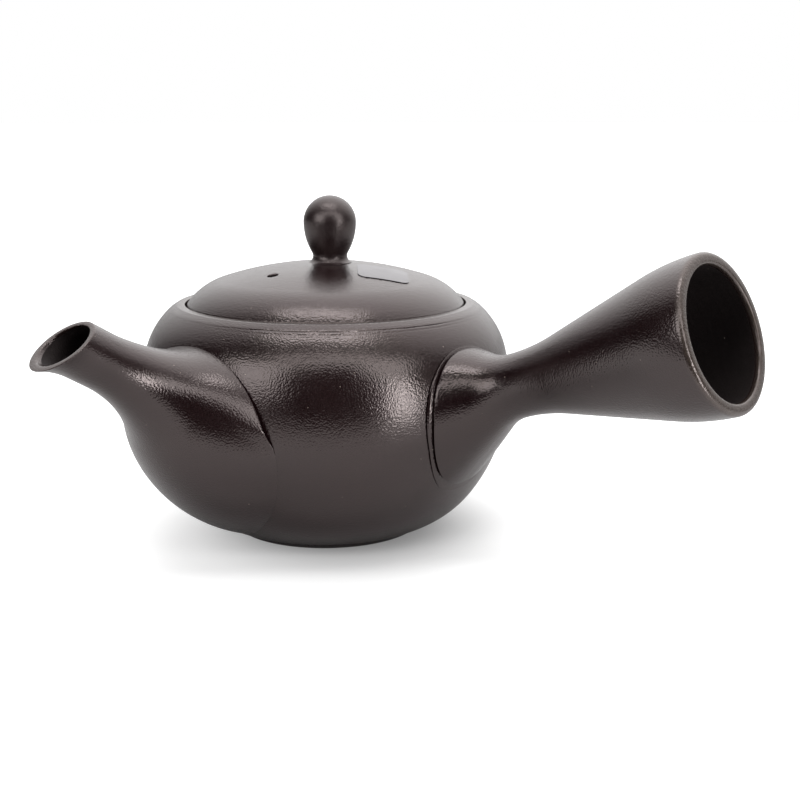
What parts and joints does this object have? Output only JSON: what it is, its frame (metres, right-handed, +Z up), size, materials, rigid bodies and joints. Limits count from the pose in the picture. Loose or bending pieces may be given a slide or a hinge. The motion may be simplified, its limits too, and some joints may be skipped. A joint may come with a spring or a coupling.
{
  "type": "kyusu teapot",
  "caption": "Side-handle teapot in dark burnished clay: round bowl, bell-rooted spout with a strainer behind it, hollow trumpet handle and a domed lid with a knob that lifts off",
  "frame": {"origin": "centre of the foot's flat underside, on the table", "axes": "+Z up, +X along the handle, the spout points near -Y"},
  "size_m": [0.1816, 0.1485, 0.0952],
  "materials": {
    "burnished_clay": "satin burnish, unglazed",
    "raw_clay": "matt, unburnished",
    "clear_film": "thin satin film, blank"
  },
  "bodies": {
    "pot": {"pot_body": "burnished_clay", "spout": "burnished_clay", "spout_strainer": "raw_clay", "handle": "burnished_clay", "handle_collar": "burnished_clay"},
    "lid": {"lid": "burnished_clay", "lid_knob": "burnished_clay", "lid_label": "clear_film"}
  },
  "joints": [
    {"name": "lid_lift", "type": "slide", "parent": "pot", "child": "lid", "axis": [0, 0, 1], "range_m": [0, 0.06]}
  ]
}
